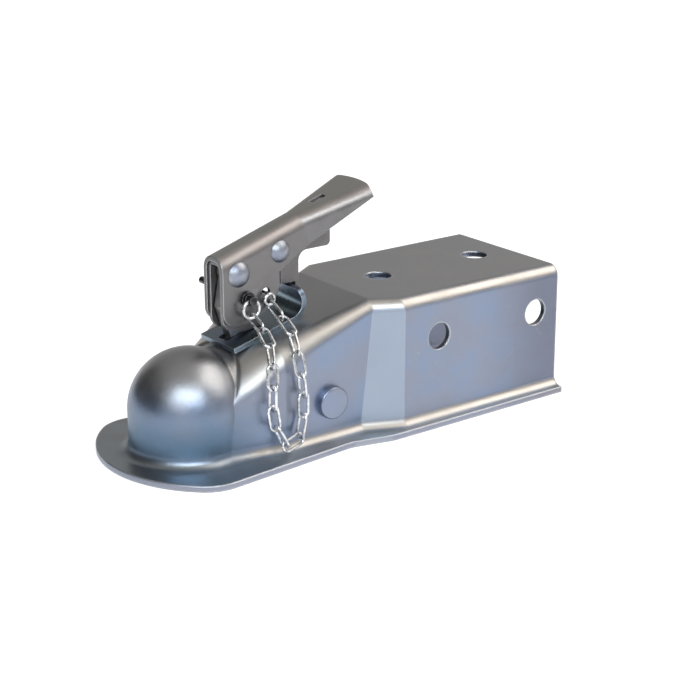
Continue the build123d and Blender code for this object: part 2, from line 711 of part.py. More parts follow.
# Sleeves keep the clamp central on the cross rivet
sleeve_inner = CLAMP_HALF + SIDE_GAP
sleeve_outer = NECK_HALF - SHEET - FIT_GAP
with BuildPart() as clamp_sleeves:
    with BuildSketch(Plane.XZ.offset(sleeve_inner)):
        with Locations((CLAMP_X, CLAMP_Z)):
            Circle(CLAMP_PIN_D / 2 + FIT_GAP + SLEEVE_WALL)
            Circle(CLAMP_PIN_D / 2 + FIT_GAP, mode=Mode.SUBTRACT)
    extrude(amount=sleeve_outer - sleeve_inner)
    mirror(about=Plane.XZ)
clamp_sleeves.part.label = "clamp_sleeves"
export_step(clamp_sleeves.part, "parts/clamp_sleeves.step")

# Compression spring that pushes the clamp open, under a cup washer in the roof
cup_top = crown_z(SPRING_X - CUP_R) - SHEET / cos(slope) - FIT_GAP
spring_foot = SPRING_SEAT_Z + FIT_GAP + SPRING_WIRE / 2
spring_rise = cup_top - CUP_T - FIT_GAP - SPRING_WIRE / 2 - spring_foot
with BuildPart() as clamp_spring:
    with Locations((SPRING_X, 0, spring_foot)):
        add(coil(SPRING_R, SPRING_WIRE, SPRING_TURNS, spring_rise))
clamp_spring.part.label = "clamp_spring"
export_step(clamp_spring.part, "parts/clamp_spring.step")

with BuildPart() as spring_seat:
    with BuildSketch(Plane.XY.offset(cup_top)):
        with Locations((SPRING_X, 0)):
            Circle(CUP_R)
            Circle(SPRING_R - SPRING_WIRE, mode=Mode.SUBTRACT)
    extrude(amount=-CUP_T)
spring_seat.part.label = "spring_seat"
export_step(spring_seat.part, "parts/spring_seat.step")

# Safety pin with its ring, pushed through the lever and cam from the near side
pin_collar = -LEVER_HALF - FIT_GAP
pin_tail = pin_collar - PIN_HEAD_T
ring_y = pin_tail - PIN_TAIL_L / 2
pin_plane = Plane(origin=(PIN_X, 0, PIN_Z), x_dir=(1, 0, 0), z_dir=(0, -1, 0))
with BuildPart() as safety_pin:
    with BuildSketch(pin_plane.offset(-LEVER_HALF - PIN_STUB)):
        Circle(PIN_D / 2)
    extrude(amount=LEVER_HALF + PIN_STUB - pin_collar)
    with BuildSketch(pin_plane.offset(-pin_collar)):
        Circle(PIN_HEAD_D / 2)
    extrude(amount=PIN_HEAD_T)
    with BuildSketch(pin_plane.offset(-pin_tail)):
        Circle(PIN_TAIL_D / 2)
    extrude(amount=PIN_TAIL_L)
    with Locations((PIN_X, ring_y, PIN_Z)):
        Cylinder(RING_HOLE_D / 2, PIN_HEAD_D, rotation=(0, 90, 0), mode=Mode.SUBTRACT)
safety_pin.part.label = "safety_pin"
export_step(safety_pin.part, "parts/safety_pin.step")

with BuildPart() as pin_ring:
    with Locations((PIN_X, ring_y, PIN_Z - RING_R)):
        Torus(RING_R, RING_WIRE / 2, rotation=(90, 0, 0))
pin_ring.part.label = "pin_ring"
export_step(pin_ring.part, "parts/pin_ring.step")

# Wire hook that holds the other end of the chain in the lever wall
hook_y = -LEVER_HALF - HOOK_REACH
hook_in = HOOK_REACH - LEVER_HALF
hang = (Align.CENTER, Align.CENTER, Align.MAX)
with BuildPart() as chain_hook:
    with Locations((CHAIN_HOLE_X, hook_in, CHAIN_HOLE_Z)):
        Sphere(LINK_WIRE / 2)
        Cylinder(LINK_WIRE / 2, hook_in - hook_y, align=stand, rotation=(90, 0, 0))
        Cylinder(LINK_WIRE / 2, HOOK_TURN, align=hang)
    with Locations((CHAIN_HOLE_X, hook_y, CHAIN_HOLE_Z - HOOK_R)):
        Torus(HOOK_R, RING_WIRE / 2, rotation=(90, 0, 0))
chain_hook.part.label = "chain_hook"
export_step(chain_hook.part, "parts/chain_hook.step")

# Chain: wire links a quarter turn apart, hung in a loop from the pin ring to the hook
with BuildPart() as chain_link:
    with BuildLine() as link_line:
        half_l = LINK_STRAIGHT / 2
        Line((-half_l, -LINK_BEND_R), (half_l, -LINK_BEND_R))
        CenterArc((half_l, 0), LINK_BEND_R, -90, 180)
        Line((half_l, LINK_BEND_R), (-half_l, LINK_BEND_R))
        CenterArc((-half_l, 0), LINK_BEND_R, 90, 180)
    with BuildSketch(Plane(origin=link_line.line @ 0, z_dir=link_line.line % 0)):
        Circle(LINK_WIRE / 2)
    sweep(path=link_line.line)

with BuildPart() as safety_chain:
    for number, (start, end) in enumerate(zip(CHAIN_JOINTS, CHAIN_JOINTS[1:])):
        run = (Vector(*end) - Vector(*start)).normalized()
        middle = (Vector(*end) + Vector(*start)) / 2
        face = Vector(1, 0, 0) - run * run.X
        if number % 2:
            face = run.cross(face)
        with Locations(Plane(origin=middle, x_dir=run, z_dir=face)):
            add(chain_link.part)
safety_chain.part.label = "safety_chain"
export_step(safety_chain.part, "parts/safety_chain.step")
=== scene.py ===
from math import asin, cos, radians, sin

import bmesh
import bpy
from mathutils import Euler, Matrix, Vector


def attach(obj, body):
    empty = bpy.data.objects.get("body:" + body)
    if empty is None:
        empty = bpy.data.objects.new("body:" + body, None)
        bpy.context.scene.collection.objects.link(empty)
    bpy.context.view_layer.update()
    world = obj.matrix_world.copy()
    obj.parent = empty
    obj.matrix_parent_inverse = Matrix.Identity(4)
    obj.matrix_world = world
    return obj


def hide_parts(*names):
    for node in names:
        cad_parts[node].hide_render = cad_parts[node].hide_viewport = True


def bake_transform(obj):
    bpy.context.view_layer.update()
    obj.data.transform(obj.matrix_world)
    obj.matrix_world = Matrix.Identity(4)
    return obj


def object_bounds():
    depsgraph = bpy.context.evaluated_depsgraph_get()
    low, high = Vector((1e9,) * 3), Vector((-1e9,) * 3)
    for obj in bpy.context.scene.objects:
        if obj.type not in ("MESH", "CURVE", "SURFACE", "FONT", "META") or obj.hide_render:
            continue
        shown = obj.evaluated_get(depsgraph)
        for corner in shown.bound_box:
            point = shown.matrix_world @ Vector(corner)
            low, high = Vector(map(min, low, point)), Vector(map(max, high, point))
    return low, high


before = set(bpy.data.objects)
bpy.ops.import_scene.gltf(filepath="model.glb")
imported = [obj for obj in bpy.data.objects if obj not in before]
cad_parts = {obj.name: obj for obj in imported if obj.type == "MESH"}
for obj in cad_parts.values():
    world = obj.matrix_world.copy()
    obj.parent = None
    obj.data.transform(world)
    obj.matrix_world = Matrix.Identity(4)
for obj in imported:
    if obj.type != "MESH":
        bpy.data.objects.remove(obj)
cad_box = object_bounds()
scene = bpy.context.scene

# Tints of the plating, the steels and the iron, and the highlights, light and shade painted on the
# plating

CLEAR_ZINC = (0.39, 0.40, 0.42)
BLUE_ZINC = (0.23, 0.285, 0.40)
VIOLET_ZINC = (0.265, 0.29, 0.365)
# Painted highlight on the strip between neck and box
FACET_HIGHLIGHT_ZINC = (0.32, 0.37, 0.46)
# Teal for the rim's top and pinkish grey for its sides: colour by facing, painted reflection and shade
TEAL_ZINC = (0.23, 0.34, 0.41)
RIM_SIDE_SHADE_ZINC = (0.33, 0.31, 0.33)
# Painted highlights on the long bends of the shell and the lever
CREAM_HIGHLIGHT_ZINC = (0.50, 0.48, 0.455)
ROSE_HIGHLIGHT_ZINC = (0.42, 0.385, 0.375)
DEEP_ZINC = (0.19, 0.25, 0.29)
WARM_ZINC = (0.17, 0.165, 0.168)
GREY_ZINC = (0.205, 0.20, 0.205)
DARK_ZINC = (0.12, 0.12, 0.13)
# Painted light on the lever's tops
RIDGE_LIGHT_ZINC = (0.43, 0.435, 0.43)
# Painted shade at the foot of the dome
DOME_FOOT_SHADE_ZINC = (0.115, 0.18, 0.26)
REAR_ZINC = (0.175, 0.19, 0.25)
# Rubbed zinc for scuffs, and for edges, where it is partly a painted highlight
RUBBED_AND_GLINT_ZINC = (0.68, 0.70, 0.73)
PLAIN_STEEL = (0.40, 0.40, 0.41)
OILED_STEEL = (0.28, 0.27, 0.26)
IRON_SKIN = (0.22, 0.22, 0.23)
IRON_PEAK = (0.34, 0.34, 0.35)
BRIGHT_WIRE = (0.80, 0.81, 0.83)
WIRE_SHADE = (0.30, 0.31, 0.33)
BLACK_OXIDE = (0.035, 0.035, 0.038)
WORN_OXIDE = (0.11, 0.11, 0.115)

# Ranges of a noise, or of an edge or crease mask, over which a finish changes

FULL_BAND = (0.0, 1.0)
WIDE_BAND = (0.3, 0.7)
NARROW_BAND = (0.35, 0.65)
PATCH_BAND = (0.4, 0.75)
PEAK_BAND = (0.35, 0.7)
PIT_BAND = (0.66, 0.85)
SCUFF_BAND = (0.62, 0.80)
PLATE_GLOSS_BAND = (0.45, 0.95)
EDGE_BAND = (0.2, 0.9)
PLATE_EDGE_BAND = (0.3, 0.95)
CREASE_SHADE_BAND = (0.3, 0.9)
EDGE_MATCH = (0.995, 0.90)
MASK_SAMPLES = 6

# Where the tints change, most of them painted light and shade: metres along X or Z, or the lean of a
# face as its normal's X or Z

FACET_LEAN_X = (-0.20, -0.12)
DOME_END_X = (0.055, 0.065)
DOME_FRONT_X = (-0.006, 0.030)
FOOT_TOP_Z = (-0.006, 0.020)
FOOT_LOW_Z = (-0.016, -0.006)
RIM_Z = (-0.022, -0.010)
REAR_X = (0.14, 0.20)
WALL_LEAN_Z = (0.1, 0.3)
TOP_LEAN_Z = (0.35, 0.85)
RIDGE_LEAN_Z = (0.75, 0.90)
BEND_START_LEAN_Z = (0.15, 0.50)
BEND_END_LEAN_Z = (0.80, 0.93)
BEND_X = (0.008, 0.022)

# Colour sockets of the Mix node

MIX_FIRST = 6
MIX_SECOND = 7
MIX_RESULT = 2


class Nodes:
    """A node tree under construction."""

    def __init__(self, tree):
        self.tree = tree
        self.tree.nodes.clear()

    def add(self, kind, **settings):
        node = self.tree.nodes.new(kind)
        for key, value in settings.items():
            setattr(node, key, value)
        return node

    def join(self, source, target):
        self.tree.links.new(source, target)

    def feed(self, socket, value):
        """Gives a socket a number, a colour or another node's output."""
        if isinstance(value, bpy.types.NodeSocket):
            self.join(value, socket)
        elif isinstance(value, tuple):
            socket.default_value = (*value, 1.0)
        else:
            socket.default_value = value

    def math(self, operation, *values):
        """One math node. Each value is a number or a socket."""
        node = self.add("ShaderNodeMath", operation=operation)
        for value, socket in zip(values, node.inputs):
            self.feed(socket, value)
        return node.outputs[0]

    def fold(self, operation, first, *others):
        """One math operation carried on over all the values."""
        for other in others:
            first = self.math(operation, first, other)
        return first

    def along(self, vector, axis):
        """One axis of a vector."""
        split = self.add("ShaderNodeSeparateXYZ")
        self.join(vector, split.inputs["Vector"])
        return split.outputs[axis]


class Look(Nodes):
    """A material under construction, with the piece's own coordinates."""

    def __init__(self, name):
        self.material = bpy.data.materials.new(name)
        self.material.use_nodes = True
        super().__init__(self.material.node_tree)
        coordinates = self.add("ShaderNodeTexCoord")
        self.place = coordinates.outputs["Object"]
        self.facing = coordinates.outputs["Normal"]

    def show(self, shader):
        self.join(shader, self.add("ShaderNodeOutputMaterial").inputs["Surface"])

    def noise(self, scale, detail, rough=0.55, stretch=(1, 1, 1), turn=(0, 0, 0)):
        """Height of a noise on the piece's own coordinates, 0 to 1."""
        mapping = self.add("ShaderNodeMapping")
        mapping.inputs["Scale"].default_value = stretch
        mapping.inputs["Rotation"].default_value = turn
        self.join(self.place, mapping.inputs["Vector"])
        noise = self.add("ShaderNodeTexNoise")
        noise.inputs["Scale"].default_value = scale
        noise.inputs["Detail"].default_value = detail
        noise.inputs["Roughness"].default_value = rough
        self.join(mapping.outputs["Vector"], noise.inputs["Vector"])
        return noise.outputs["Fac"]

    def band(self, value, low, high, out_low=0.0, out_high=1.0):
        """Maps a value from low..high to out_low..out_high, held at both ends."""
        spread = self.add("ShaderNodeMapRange", interpolation_type="SMOOTHSTEP")
        spread.inputs["From Min"].default_value = low
        spread.inputs["From Max"].default_value = high
        spread.inputs["To Min"].default_value = out_low
        spread.inputs["To Max"].default_value = out_high
        self.join(value, spread.inputs["Value"])
        return spread.outputs["Result"]

    def fade(self, value, low, high, most=1.0):
        """A band that falls from most to 0 as the value rises."""
        return self.band(value, low, high, most, 0.0)

    def mixed(self, share, first, second):
        """Two colours mixed by a share. Each is a colour or a socket."""
        mix = self.add("ShaderNodeMix", data_type="RGBA", blend_type="MIX")
        self.join(share, mix.inputs[0])
        self.feed(mix.inputs[MIX_FIRST], first)
        self.feed(mix.inputs[MIX_SECOND], second)
        return mix.outputs[MIX_RESULT]

    def plus(self, first, second, share):
        """first plus share times second."""
        return self.math("MULTIPLY_ADD", second, share, first)


class Finish(Look):
    """A finish: a principled shader, metal unless it says otherwise, its tint, gloss and relief."""

    def __init__(self, name, metallic=1.0):
        super().__init__(name)
        self.shader = self.add("ShaderNodeBsdfPrincipled")
        self.shader.inputs["Metallic"].default_value = metallic
        self.show(self.shader.outputs["BSDF"])

    def own_normal(self):
        return self.add("ShaderNodeNewGeometry").outputs["Normal"]

    def edges(self, radius):
        """1 on the edges of the piece, 0 on its faces, with the rounded normal."""
        rounded = self.add("ShaderNodeBevel", samples=MASK_SAMPLES)
        rounded.inputs["Radius"].default_value = radius
        match = self.add("ShaderNodeVectorMath", operation="DOT_PRODUCT")
        self.join(rounded.outputs["Normal"], match.inputs[0])
        self.join(self.own_normal(), match.inputs[1])
        return self.band(match.outputs["Value"], *EDGE_MATCH), rounded.outputs["Normal"]

    def open_air(self, reach):
        """1 in the open, falling to 0 in creases and under overhangs."""
        shade = self.add("ShaderNodeAmbientOcclusion", samples=MASK_SAMPLES)
        shade.inputs["Distance"].default_value = reach
        return shade.outputs["AO"]

    def worn(self, tint, edge, bare, most, wear=EDGE_BAND):
        """The tint with the edges rubbed towards a bare one."""
        return self.mixed(self.band(edge, *wear, out_high=most), tint, bare)

    def paint(self, tint, noise, smooth, dull, spread=WIDE_BAND):
        """Sets the tint, and a roughness that goes from smooth to dull with a noise."""
        self.join(tint, self.shader.inputs["Base Color"])
        self.join(self.band(noise, *spread, smooth, dull), self.shader.inputs["Roughness"])

    def relief(self, height, depth, normal):
        """Fine relief in the surface, depth metres deep."""
        bump = self.add("ShaderNodeBump")
        bump.inputs["Strength"].default_value = 1.0
        bump.inputs["Distance"].default_value = depth
        self.join(height, bump.inputs["Height"])
        self.join(normal, bump.inputs["Normal"])
        self.join(bump.outputs["Normal"], self.shader.inputs["Normal"])


# Finishes


def shell_tint(plate, tint, clouds):
    """Tints over the shell's plating, most of them painted light and shade.

    It is greyer on top, a painted reflection; paler on the strip between neck and box, a painted
    highlight; deeper at the foot of the dome, a painted shade; darker on the walls at the rear. On
    the rim it is tinted by facing, teal on top and pinkish grey on its sides: painted reflection
    and shade.
    """
    x = plate.along(plate.place, "X")
    lean = plate.along(plate.facing, "Z")
    # Faces that look up turn greyer: a painted reflection.
    painted_top_share = plate.band(plate.plus(lean, clouds, share=0.3), *TOP_LEAN_Z)
    # Faces that lean forward behind the dome turn paler: a painted highlight.
    forward = plate.fade(plate.along(plate.facing, "X"), *FACET_LEAN_X)
    facet_highlight = plate.fold("MULTIPLY", forward, plate.band(x, *DOME_END_X))
    tint = plate.mixed(facet_highlight, tint, FACET_HIGHLIGHT_ZINC)
    tint = plate.mixed(painted_top_share, tint, CLEAR_ZINC)
    height = plate.plus(plate.along(plate.place, "Z"), clouds, share=0.012)
    low = plate.fade(height, *FOOT_TOP_Z)
    above_rim = plate.band(height, *FOOT_LOW_Z)
    # Low at the front of the dome the tint turns deeper: painted shade.
    foot = plate.fold("MULTIPLY", plate.fade(x, *DOME_FRONT_X), low, above_rim)
    tint = plate.mixed(foot, tint, DOME_FOOT_SHADE_ZINC)
    rear = plate.fold("MULTIPLY", plate.fade(lean, *WALL_LEAN_Z), plate.band(x, *REAR_X))
    tint = plate.mixed(rear, tint, REAR_ZINC)
    # The rim is tinted by facing, teal on top and pinkish grey on its sides: painted reflection and
    # shade.
    rim = plate.mixed(painted_top_share, RIM_SIDE_SHADE_ZINC, TEAL_ZINC)
    return plate.mixed(plate.fade(height, *RIM_Z, most=0.9), tint, rim)


def long_bends(plate):
    """1 on the long bends behind the front, where a painted highlight goes, 0 on walls and tops."""
    lean = plate.along(plate.facing, "Z")
    past_wall = plate.band(lean, *BEND_START_LEAN_Z)
    short_of_top = plate.fade(lean, *BEND_END_LEAN_Z)
    behind_front = plate.band(plate.along(plate.place, "X"), *BEND_X)
    return plate.fold("MULTIPLY", past_wall, short_of_top, behind_front)


def zinc_plate(
    name, main, other, smooth, dull, edge_r, draw_turn=(0, 0, 0), bends=None, tops=None, shell=False
):
    """Bright zinc on pressed sheet: cloudy tint, draw lines, fine spangle, edges rubbed bright, partly
    wear and partly a painted highlight.

    bends is the tint of a painted highlight on the long bends, and tops that of painted light on
    the faces that look up. shell adds the shell's tints, most of them painted light and shade.
    """
    plate = Finish(name)
    clouds = plate.noise(scale=38, detail=3)
    spangle = plate.noise(scale=520, detail=2)
    drawn = plate.noise(scale=60, detail=4, rough=0.6, stretch=(0.6, 9, 9), turn=draw_turn)
    scuffs = plate.noise(scale=95, detail=5, rough=0.7, stretch=(1, 14, 1), turn=(0.5, 0.3, 0.8))
    edge, rounded = plate.edges(edge_r)

    tint = plate.mixed(plate.band(clouds, *NARROW_BAND), main, other)
    if shell:
        tint = shell_tint(plate, tint, clouds)
    # Faces that look up get painted light.
    if tops:
        tint = plate.mixed(plate.band(plate.along(plate.facing, "Z"), *RIDGE_LEAN_Z), tint, tops)
    # The long bends get a painted highlight.
    if bends:
        tint = plate.mixed(long_bends(plate), tint, bends)
    tint = plate.mixed(plate.band(scuffs, *SCUFF_BAND, out_high=0.2), tint, RUBBED_AND_GLINT_ZINC)
    # Edges rubbed bright, partly wear and partly a painted highlight.
    tint = plate.worn(tint, edge, RUBBED_AND_GLINT_ZINC, most=0.7, wear=PLATE_EDGE_BAND)

    plate.paint(tint, plate.plus(clouds, spangle, share=0.35), smooth, dull, PLATE_GLOSS_BAND)
    grain = plate.plus(spangle, drawn, share=0.8)
    plate.relief(plate.plus(grain, scuffs, share=0.5), depth=0.00004, normal=rounded)
    return plate.material


def rivet_zinc(name):
    """Plated rivet heads: cloudy, finely pitted, rubbed bright on the edges."""
    head = Finish(name)
    clouds = head.noise(scale=160, detail=3)
    pits = head.noise(scale=900, detail=3)
    edge, rounded = head.edges(radius=0.0004)
    tint = head.mixed(head.band(clouds, *WIDE_BAND), CLEAR_ZINC, VIOLET_ZINC)
    tint = head.mixed(head.band(pits, *PIT_BAND, out_high=0.5), tint, DARK_ZINC)
    tint = head.worn(tint, edge, RUBBED_AND_GLINT_ZINC, most=0.6)
    head.paint(tint, pits, smooth=0.36, dull=0.48)
    head.relief(head.plus(clouds, pits, share=0.2), depth=0.00004, normal=rounded)
    return head.material


def turned_steel(name):
    """Plain machined steel with a film of oil."""
    steel = Finish(name)
    film = steel.noise(scale=120, detail=3)
    lines = steel.noise(scale=400, detail=2, stretch=(1, 6, 6))
    edge, rounded = steel.edges(radius=0.0003)
    tint = steel.mixed(steel.band(film, *NARROW_BAND), PLAIN_STEEL, OILED_STEEL)
    tint = steel.worn(tint, edge, CLEAR_ZINC, most=0.6)
    steel.paint(tint, lines, smooth=0.28, dull=0.45)
    steel.relief(lines, depth=0.00003, normal=rounded)
    return steel.material


def spring_wire(name):
    """Spring wire, dark and oiled, with a fine grain."""
    wire = Finish(name)
    grain = wire.noise(scale=600, detail=3)
    patches = wire.noise(scale=90, detail=2)
    tint = wire.mixed(wire.band(patches, *NARROW_BAND), OILED_STEEL, PLAIN_STEEL)
    wire.paint(tint, grain, smooth=0.30, dull=0.5)
    wire.relief(grain, depth=0.00002, normal=wire.own_normal())
    return wire.material


def blackened_steel(name):
    """Black oxide on the pin, worn greyer along its edges."""
    steel = Finish(name)
    patches = steel.noise(scale=240, detail=4)
    grain = steel.noise(scale=1100, detail=2)
    edge, rounded = steel.edges(radius=0.0003)
    tint = steel.mixed(steel.band(patches, *PATCH_BAND), BLACK_OXIDE, WORN_OXIDE)
    tint = steel.worn(tint, edge, PLAIN_STEEL, most=0.5)
    steel.paint(tint, grain, smooth=0.26, dull=0.42)
    steel.relief(grain, depth=0.00002, normal=rounded)
    return steel.material


def iron_casting(name):
    """Sand-cast iron: grainy skin, brighter on the peaks and along the edges."""
    iron = Finish(name)
    grain = iron.noise(scale=420, detail=6, rough=0.7)
    swell = iron.noise(scale=70, detail=3)
    edge, rounded = iron.edges(radius=0.0008)
    tint = iron.mixed(iron.band(grain, *PEAK_BAND), IRON_SKIN, IRON_PEAK)
    tint = iron.worn(tint, edge, PLAIN_STEEL, most=0.5)
    iron.paint(tint, swell, smooth=0.45, dull=0.68)
    iron.relief(iron.plus(grain, swell, share=0.6), depth=0.0003, normal=rounded)
    return iron.material


def bright_wire(name):
    """Plated chain wire: bright, with darker patches, and painted shade where links touch."""
    wire = Finish(name)
    patches = wire.noise(scale=260, detail=3)
    grain = wire.noise(scale=1300, detail=2)
    tint = wire.mixed(wire.band(patches, *PATCH_BAND), BRIGHT_WIRE, WIRE_SHADE)
    # Painted shade where links touch, from the ambient occlusion mask.
    crease_shade = wire.fade(wire.open_air(reach=0.0016), *CREASE_SHADE_BAND, most=0.7)
    tint = wire.mixed(crease_shade, tint, DARK_ZINC)
    wire.paint(tint, grain, smooth=0.16, dull=0.3)
    wire.relief(grain, depth=0.00002, normal=wire.own_normal())
    return wire.material


LEVER_TILT = radians(-17.4)

# The shell's long bends carry a painted highlight, and its tints are mostly painted light and shade.
shell_zinc = zinc_plate(
    "shell_zinc", BLUE_ZINC, VIOLET_ZINC, smooth=0.34, dull=0.46, edge_r=0.0016,
    bends=CREAM_HIGHLIGHT_ZINC, shell=True,
)
saddle_zinc = zinc_plate("saddle_zinc", DEEP_ZINC, BLUE_ZINC, smooth=0.26, dull=0.40, edge_r=0.0006)
# The lever's tops carry painted light and its long bends a painted highlight.
lever_zinc = zinc_plate(
    "lever_zinc", WARM_ZINC, GREY_ZINC, smooth=0.34, dull=0.46, edge_r=0.0007,
    draw_turn=(0, LEVER_TILT, 0), bends=ROSE_HIGHLIGHT_ZINC, tops=RIDGE_LIGHT_ZINC,
)
trigger_zinc = zinc_plate("trigger_zinc", GREY_ZINC, WARM_ZINC, smooth=0.34, dull=0.48, edge_r=0.0004)
button_zinc = zinc_plate("button_zinc", BLUE_ZINC, VIOLET_ZINC, smooth=0.30, dull=0.42, edge_r=0.0006)
rivet_finish = rivet_zinc("rivet_zinc")
steel_finish = turned_steel("plain_steel")
spring_finish = spring_wire("spring_wire")
pin_finish = blackened_steel("black_oxide")
clamp_finish = iron_casting("clamp_casting")
wire_finish = bright_wire("chain_wire")

finishes = {
    "body_shell": shell_zinc,
    "latch_saddle": saddle_zinc,
    "lever_handle": lever_zinc,
    "lever_cam": lever_zinc,
    "trigger": trigger_zinc,
    "trigger_spacers": steel_finish,
    "clamp_stem": steel_finish,
    "clamp_pin": steel_finish,
    "clamp_sleeves": steel_finish,
    "spring_seat": steel_finish,
    "trigger_spring": spring_finish,
    "clamp_spring": spring_finish,
    "ball_clamp": clamp_finish,
    "safety_pin": pin_finish,
    "pin_ring": wire_finish,
    "chain_hook": wire_finish,
}
for node, finish in finishes.items():
    for material_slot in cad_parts[node].material_slots:
        material_slot.material = finish

# Pieces made here

SAME_PLACE = 1e-6


def placed(name, shape, finish, smooth=False):
    """Puts a bmesh into the scene as a piece in one finish."""
    for face in shape.faces:
        face.smooth = smooth
    mesh = bpy.data.meshes.new(name)
    shape.to_mesh(mesh)
    shape.free()
    mesh.materials.append(finish)
    piece = bpy.data.objects.new(name, mesh)
    scene.collection.objects.link(piece)
    return piece


# Rivets, turned: a button head on the cross rivet, domes on the two lever rivets

CROSS_RIVET_AT = (0.059, -0.001)
CROSS_GRIP = 0.033
CROSS_SHANK = 0.0055
BUTTON_R = 0.0080
BUTTON_H = 0.0035
BUTTON_ROUND = 0.0009
LEVER_GRIP = 0.0082
LEVER_RIVET_AT = (0.0246, 0.0622)
LEVER_SHANK = 0.0035
LEVER_HEAD_R = 0.0061
LEVER_HEAD_H = 0.0032
TRIGGER_RIVET_AT = (0.048074, 0.069556)
TRIGGER_SHANK = 0.0030
TRIGGER_HEAD_R = 0.0054
TRIGGER_HEAD_H = 0.0028
DOME_STEPS = 10
ROUND_STEPS = 4
RIVET_SIDES = 64
SHARP_ANGLE = radians(40)


def button(radius, height, grip):
    """Half outline of a flat head, from its crown to its seat, as (radius, y)."""
    return [(0, grip + height), (radius, grip + height), (radius, grip)]


def dome(radius, height, grip):
    """Half outline of a domed head, from its crown to its seat, as (radius, y)."""
    ball = (radius ** 2 + height ** 2) / (2 * height)
    turns = [asin(radius / ball) * step / DOME_STEPS for step in range(DOME_STEPS + 1)]
    return [(ball * sin(turn), grip + height - ball * (1 - cos(turn))) for turn in turns]


def crown_rims(turned, radius, crown):
    """The round edges of a button's two flat crowns."""
    rim = {
        vert for vert in turned.verts
        if abs(abs(vert.co.y) - crown) < SAME_PLACE and vert.co.xz.length > radius / 2
    }
    return [edge for edge in turned.edges if rim.issuperset(edge.verts)]


def spun_rivet(name, node, body, at, head, shank, grip, finish, brim=0.0):
    """A rivet across the part with the same head at both ends. brim rounds a button's edge."""
    half = [*head, (shank, grip)]
    outline = half + [(r, -y) for r, y in reversed(half)]
    turned = bmesh.new()
    points = [turned.verts.new((r, y, 0)) for r, y in outline]
    lines = [turned.edges.new(pair) for pair in zip(points, points[1:])]
    bmesh.ops.spin(
        turned, geom=points + lines, cent=(0, 0, 0), axis=(0, 1, 0),
        angle=radians(360), steps=RIVET_SIDES, use_merge=True,
    )
    bmesh.ops.remove_doubles(turned, verts=turned.verts, dist=SAME_PLACE)
    bmesh.ops.recalc_face_normals(turned, faces=turned.faces)
    if brim:
        bmesh.ops.bevel(
            turned, geom=crown_rims(turned, *head[1]), offset=brim, segments=ROUND_STEPS,
            profile=0.5, affect="EDGES", material=-1,
        )
    bmesh.ops.translate(turned, verts=turned.verts, vec=(at[0], 0, at[1]))
    rivet = placed(name, turned, finish, smooth=True)
    rivet.data.set_sharp_from_angle(angle=SHARP_ANGLE)
    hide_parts(node)
    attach(rivet, body)


spun_rivet(
    "cross_rivet", "clamp_rivet", "base", CROSS_RIVET_AT,
    button(BUTTON_R, BUTTON_H, CROSS_GRIP), CROSS_SHANK, CROSS_GRIP, button_zinc, BUTTON_ROUND,
)
spun_rivet(
    "lever_pivot_rivet", "lever_rivet", "lever", LEVER_RIVET_AT,
    dome(LEVER_HEAD_R, LEVER_HEAD_H, LEVER_GRIP), LEVER_SHANK, LEVER_GRIP, rivet_finish,
)
spun_rivet(
    "trigger_pivot_rivet", "trigger_rivet", "lever", TRIGGER_RIVET_AT,
    dome(TRIGGER_HEAD_R, TRIGGER_HEAD_H, LEVER_GRIP), TRIGGER_SHANK, LEVER_GRIP, rivet_finish,
)

# Chain: its links are split by where they sit: two by the pin ring, one on the hook, one that bridges
# them, and the rest, which hang with the chain

HOOK_LINK_Z = 0.041
RING_SIDE_X = 0.033
RING_RUN_Z = 0.032
BRIDGE_Z = 0.024


def link_of(vert):
    """All the points of the chain link that one of its points is on."""
    found = {vert}
    border = [vert]
    while border:
        for edge in border.pop().link_edges:
            for other in edge.verts:
                if other not in found:
                    found.add(other)
                    border.append(other)
    return found


def run_of(middle):
    """The run that a link belongs to, by where its middle is."""
    if middle.x > RING_SIDE_X:
        return "chain_hook_link" if middle.z > HOOK_LINK_Z else "chain_hung_links"
    if middle.z < BRIDGE_Z:
        return "chain_hung_links"
    return "chain_ring_links" if middle.z > RING_RUN_Z else "chain_bridge_link"


def chain_run(name):
    """The links of one run, from the chain's own mesh."""
    links = bmesh.new()
    links.from_mesh(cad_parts["safety_chain"].data)
    bmesh.ops.remove_doubles(links, verts=links.verts, dist=SAME_PLACE)
    to_sort = set(links.verts)
    left_out = []
    while to_sort:
        link = link_of(next(iter(to_sort)))
        to_sort -= link
        if run_of(sum((vert.co for vert in link), Vector()) / len(link)) != name:
            left_out.extend(link)
    bmesh.ops.delete(links, geom=left_out, context="VERTS")
    run = placed(name, links, wire_finish, smooth=True)
    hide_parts("safety_chain")
    return run


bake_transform(chain_run("chain_ring_links"))
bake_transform(chain_run("chain_bridge_link"))
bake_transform(chain_run("chain_hook_link"))
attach(chain_run("chain_hung_links"), "chain")

# Studio: pale floor, dark card, soft lamps, a tent of plain light

FLOOR_Z = cad_box[0][2]
FLOOR_HALF = 6
FLOOR_PAPER = (0.60, 0.605, 0.61)
PAPER_GLOW = 0.70
# A box under the shell where the paper's glow is masked off: a painted shadow
UNDER_X = 0.085
UNDER_HALF_X = 0.110
UNDER_HALF_Y = 0.036
UNDER_SOFT = 0.008
CARD_FOOT = Vector((-0.42, 0.32, FLOOR_Z))
CARD_SPAN = Vector((0.32, 0.40, 0))
CARD_RISE = Vector((0, 0, 0.6))
FELT_BASE = (0.04, 0.04, 0.04)
FELT_NAP = (0.07, 0.068, 0.065)
TENT_GREYS = (
    (0.0, (0.58, 0.57, 0.56)),
    (0.30, (0.48, 0.46, 0.44)),
    (0.55, (0.31, 0.295, 0.28)),
    (0.80, (0.33, 0.315, 0.30)),
    (1.0, (0.42, 0.40, 0.38)),
)
PURE_WHITE = (1.0, 1.0, 1.0)


